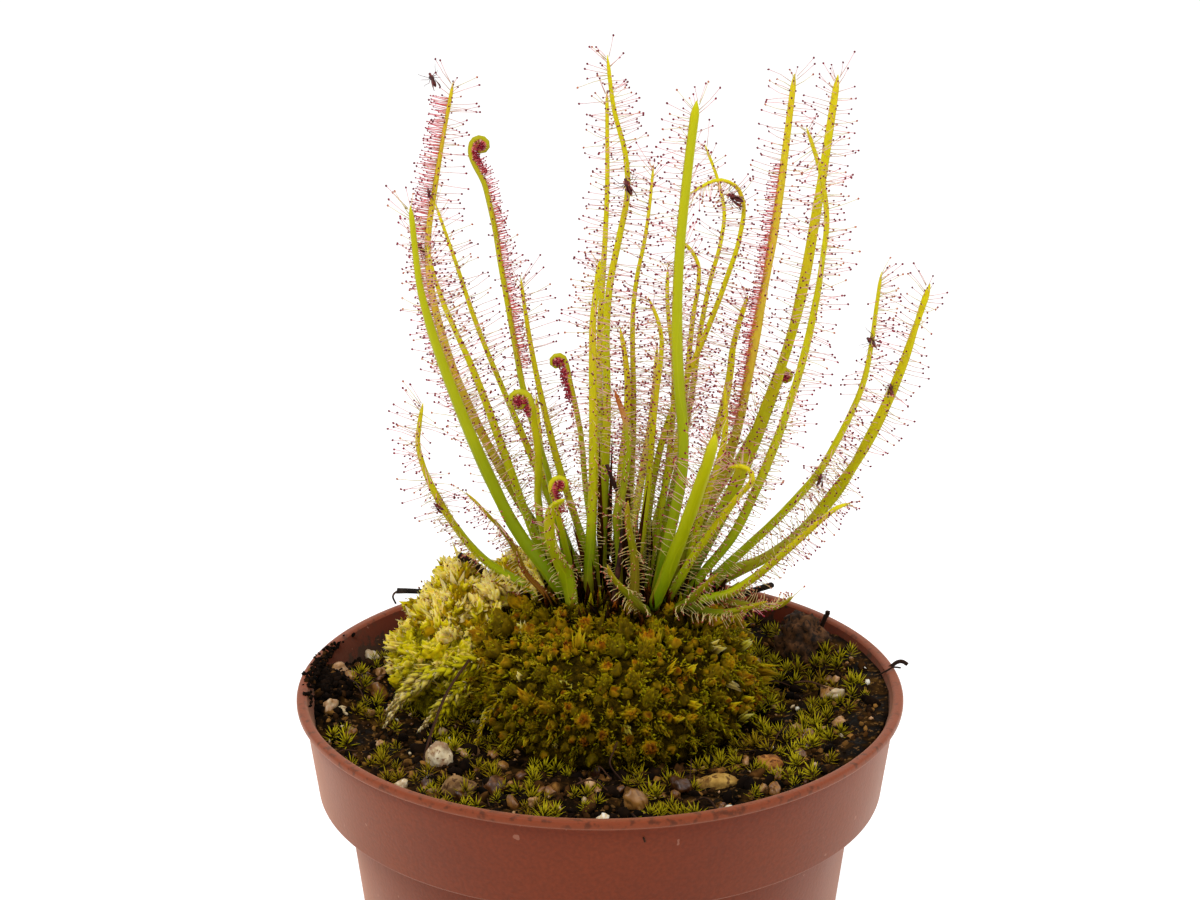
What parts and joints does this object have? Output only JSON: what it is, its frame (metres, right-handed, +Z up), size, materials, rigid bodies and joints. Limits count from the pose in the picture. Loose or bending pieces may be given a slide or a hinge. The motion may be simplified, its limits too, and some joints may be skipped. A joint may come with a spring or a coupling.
{
  "type": "potted sundew",
  "caption": "Thread-leaved sundew with upright sticky leaves, some coiled, in a moss cushion on dark peat, in a round tapered plastic nursery pot.",
  "frame": {"origin": "middle of the pot's underside, on the surface that it stands on", "axes": "+Z up along the pot's axis; -Y towards the side that the plant is usually seen from; +X to its right"},
  "size_m": [0.0932, 0.09, 0.174],
  "materials": {
    "pot": "satin, faintly flecked, terracotta colour",
    "soil": "matt, damp",
    "moss_mound": "matt",
    "moss_clump": "matt, slightly translucent",
    "crown": "matt",
    "leaf": "soft sheen, slightly translucent",
    "dead_leaf": "matt, dry",
    "stone": "matt",
    "wood": "matt, damp"
  },
  "bodies": {
    "root": {"pot": "pot", "growing_medium": "soil", "moss_mound": "moss_mound", "moss_clump": "moss_clump", "crown": "crown", "leaf_left_1": "leaf", "leaf_left_2": "leaf", "leaf_left_3": "leaf", "leaf_left_4": "leaf", "leaf_left_5": "leaf", "leaf_left_6": "leaf", "leaf_left_7": "leaf", "leaf_left_8": "leaf", "leaf_middle_1": "leaf", "leaf_middle_2": "leaf", "leaf_middle_3": "leaf", "leaf_middle_4": "leaf", "leaf_middle_5": "leaf", "leaf_middle_6": "leaf", "leaf_middle_7": "leaf", "leaf_middle_8": "leaf", "leaf_middle_9": "leaf", "leaf_middle_10": "leaf", "leaf_middle_11": "leaf", "leaf_middle_12": "leaf", "leaf_right_1": "leaf", "leaf_right_2": "leaf", "leaf_right_3": "leaf", "leaf_right_4": "leaf", "leaf_right_5": "leaf", "leaf_right_6": "leaf", "leaf_right_7": "leaf", "leaf_right_8": "leaf", "leaf_right_9": "leaf", "leaf_front_1": "leaf", "leaf_front_2": "leaf", "leaf_front_3": "leaf", "leaf_low_1": "leaf", "leaf_low_2": "leaf", "leaf_low_3": "leaf", "leaf_back_1": "leaf", "leaf_back_2": "leaf", "leaf_back_3": "leaf", "leaf_coiled_1": "leaf", "leaf_coiled_2": "leaf", "leaf_coiled_3": "leaf", "leaf_coiled_4": "leaf", "leaf_coiled_5": "leaf", "dead_stalk": "dead_leaf", "stone_pale": "stone", "stone_tan": "stone", "stone_orange": "stone", "stone_white": "stone", "stone_brown": "stone", "bark": "wood", "stick_left": "wood", "stick_right": "wood"}
  },
  "joints": []
}
